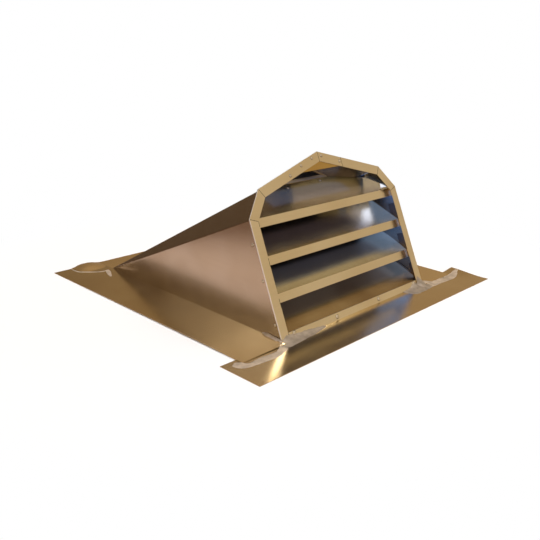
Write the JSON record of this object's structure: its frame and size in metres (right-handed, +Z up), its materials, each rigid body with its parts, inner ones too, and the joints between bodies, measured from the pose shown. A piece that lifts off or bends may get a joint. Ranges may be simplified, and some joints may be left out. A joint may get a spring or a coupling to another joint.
{
  "type": "louvred roof dormer vent",
  "caption": "Slant-back roof dormer vent in folded sheet metal: a leaning louvred face with a peaked frame, a hood that runs down to the rear, and a flat flashing.",
  "frame": {"origin": "under the middle of the whole flashing, on the plane that it rests on", "axes": "+Z up from the flashing, -Y out of the louvred face, +X to the right of someone who faces the louvres"},
  "size_m": [0.736, 0.747, 0.3101],
  "materials": {
    "hood_sheet": "satin sheet with a warm bronze tone",
    "flashing_sheet": "satin sheet with a warm bronze tone, bright and dull by turns",
    "face_strip": "satin, pale gold, hemmed edges",
    "blade_sheet": "smooth satin sheet, darker inside the hood",
    "screen": "dark wire screen"
  },
  "bodies": {
    "root": {"left_wall": "hood_sheet", "right_wall": "hood_sheet", "left_chamfer": "hood_sheet", "right_chamfer": "hood_sheet", "left_back_panel": "hood_sheet", "right_back_panel": "hood_sheet", "left_roof_slope": "hood_sheet", "right_roof_slope": "hood_sheet", "left_flange": "flashing_sheet", "right_flange": "flashing_sheet", "rear_flange": "flashing_sheet", "apron": "flashing_sheet", "left_jamb": "face_strip", "right_jamb": "face_strip", "left_shoulder": "face_strip", "right_shoulder": "face_strip", "left_rafter": "face_strip", "right_rafter": "face_strip", "peak_strip": "face_strip", "peak_gusset": "face_strip", "sill": "face_strip", "louvre_1": "blade_sheet", "louvre_2": "blade_sheet", "louvre_3": "blade_sheet", "sill_blade": "blade_sheet", "insect_screen": "screen"}
  },
  "joints": []
}
